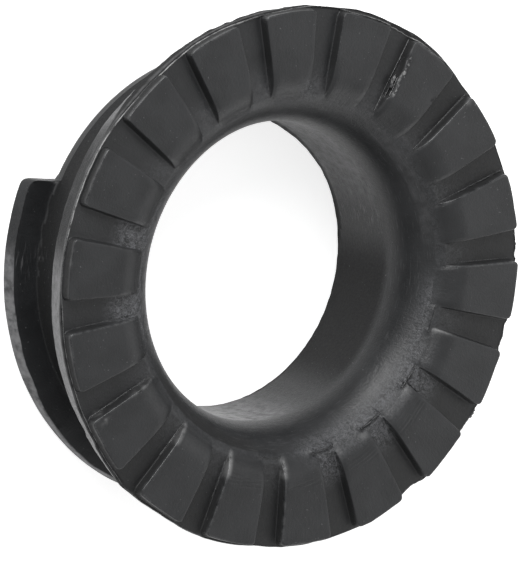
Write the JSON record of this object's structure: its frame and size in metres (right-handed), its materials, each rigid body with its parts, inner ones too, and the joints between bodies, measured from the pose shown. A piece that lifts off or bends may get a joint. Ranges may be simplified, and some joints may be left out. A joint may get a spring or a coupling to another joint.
{
  "type": "strut bearing support ring",
  "caption": "Moulded rubber ring with a flared bore, a wide flange with raised radial pads and grooves, a thick collar and a partial back lip.",
  "frame": {"origin": "on the ring's axis, in the plane of the back end face that the ring lies on", "axes": "+Z along the axis out of the padded face; +Y through the groove that faces the middle of the missing part of the lip; +X through the middle of a pad"},
  "size_m": [0.152, 0.152, 0.0433],
  "materials": {
    "black_rubber": "matt moulded rubber"
  },
  "bodies": {
    "root": {"support_ring": "black_rubber"}
  },
  "joints": []
}
